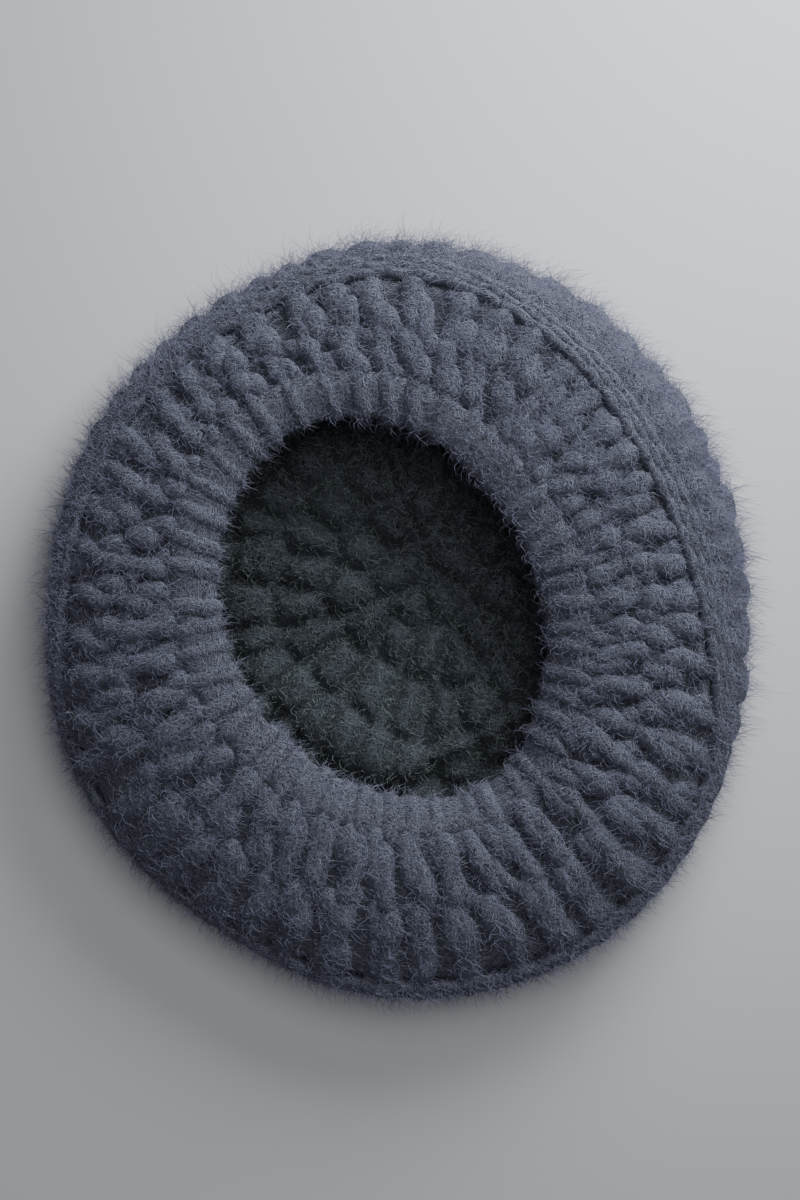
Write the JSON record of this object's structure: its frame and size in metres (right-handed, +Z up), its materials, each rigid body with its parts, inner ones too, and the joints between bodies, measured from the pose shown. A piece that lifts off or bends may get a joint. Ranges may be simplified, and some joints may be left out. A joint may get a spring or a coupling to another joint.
{
  "type": "tam o shanter",
  "caption": "Soft round crocheted tam lying crown down: wide flat crown, raised chain ridge at the fold, ribbed underside of tall posts and a rolled band round the head opening.",
  "frame": {"origin": "on the floor that the crown lies on, under the middle of the hat's box", "axes": "+Z up out of the head opening, with the crown down; +Y towards the top of the picture, along the hat's longest way; +X to the picture's right"},
  "size_m": [0.2624, 0.2828, 0.0562],
  "materials": {
    "crown_wool": "brushed dark slate wool, greener and darker inside the hat",
    "ridge_wool": "brushed dark slate wool",
    "outer_round_wool": "brushed dark slate wool",
    "inner_round_wool": "brushed dark slate wool",
    "band_wool": "brushed dark slate wool, loose and fluffy at the edge"
  },
  "bodies": {
    "root": {"crown": "crown_wool", "edge_ridge": "ridge_wool", "outer_round": "outer_round_wool", "inner_round": "inner_round_wool", "opening_band": "band_wool"}
  },
  "joints": []
}
